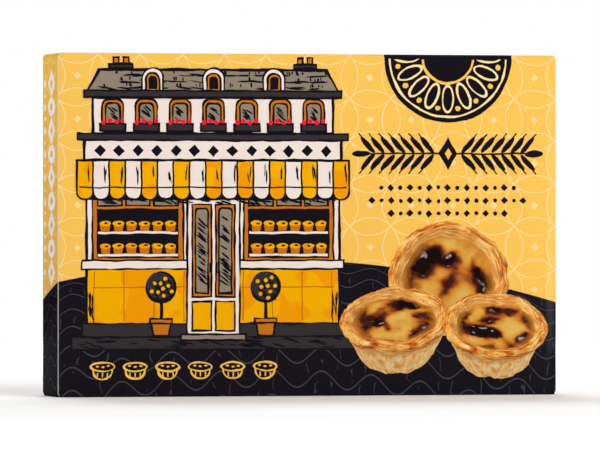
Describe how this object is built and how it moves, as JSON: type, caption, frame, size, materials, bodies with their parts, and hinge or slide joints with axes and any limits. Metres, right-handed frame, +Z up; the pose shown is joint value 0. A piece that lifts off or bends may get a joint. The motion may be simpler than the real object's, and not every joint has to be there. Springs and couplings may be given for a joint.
{
  "type": "folding carton",
  "caption": "Closed printed folding carton for custard tarts: flat rectangular board box with glued end flaps, standing on its long narrow side.",
  "frame": {"origin": "middle of the base, which is one of the long narrow sides", "axes": "+X to the right along the front, the longest extent; +Y from the front to the back, the shortest extent; +Z up"},
  "size_m": [0.24, 0.038, 0.16],
  "materials": {
    "printed_board": "coated folding boxboard, offset printed, satin"
  },
  "bodies": {
    "root": {"carton": "printed_board"}
  },
  "joints": []
}
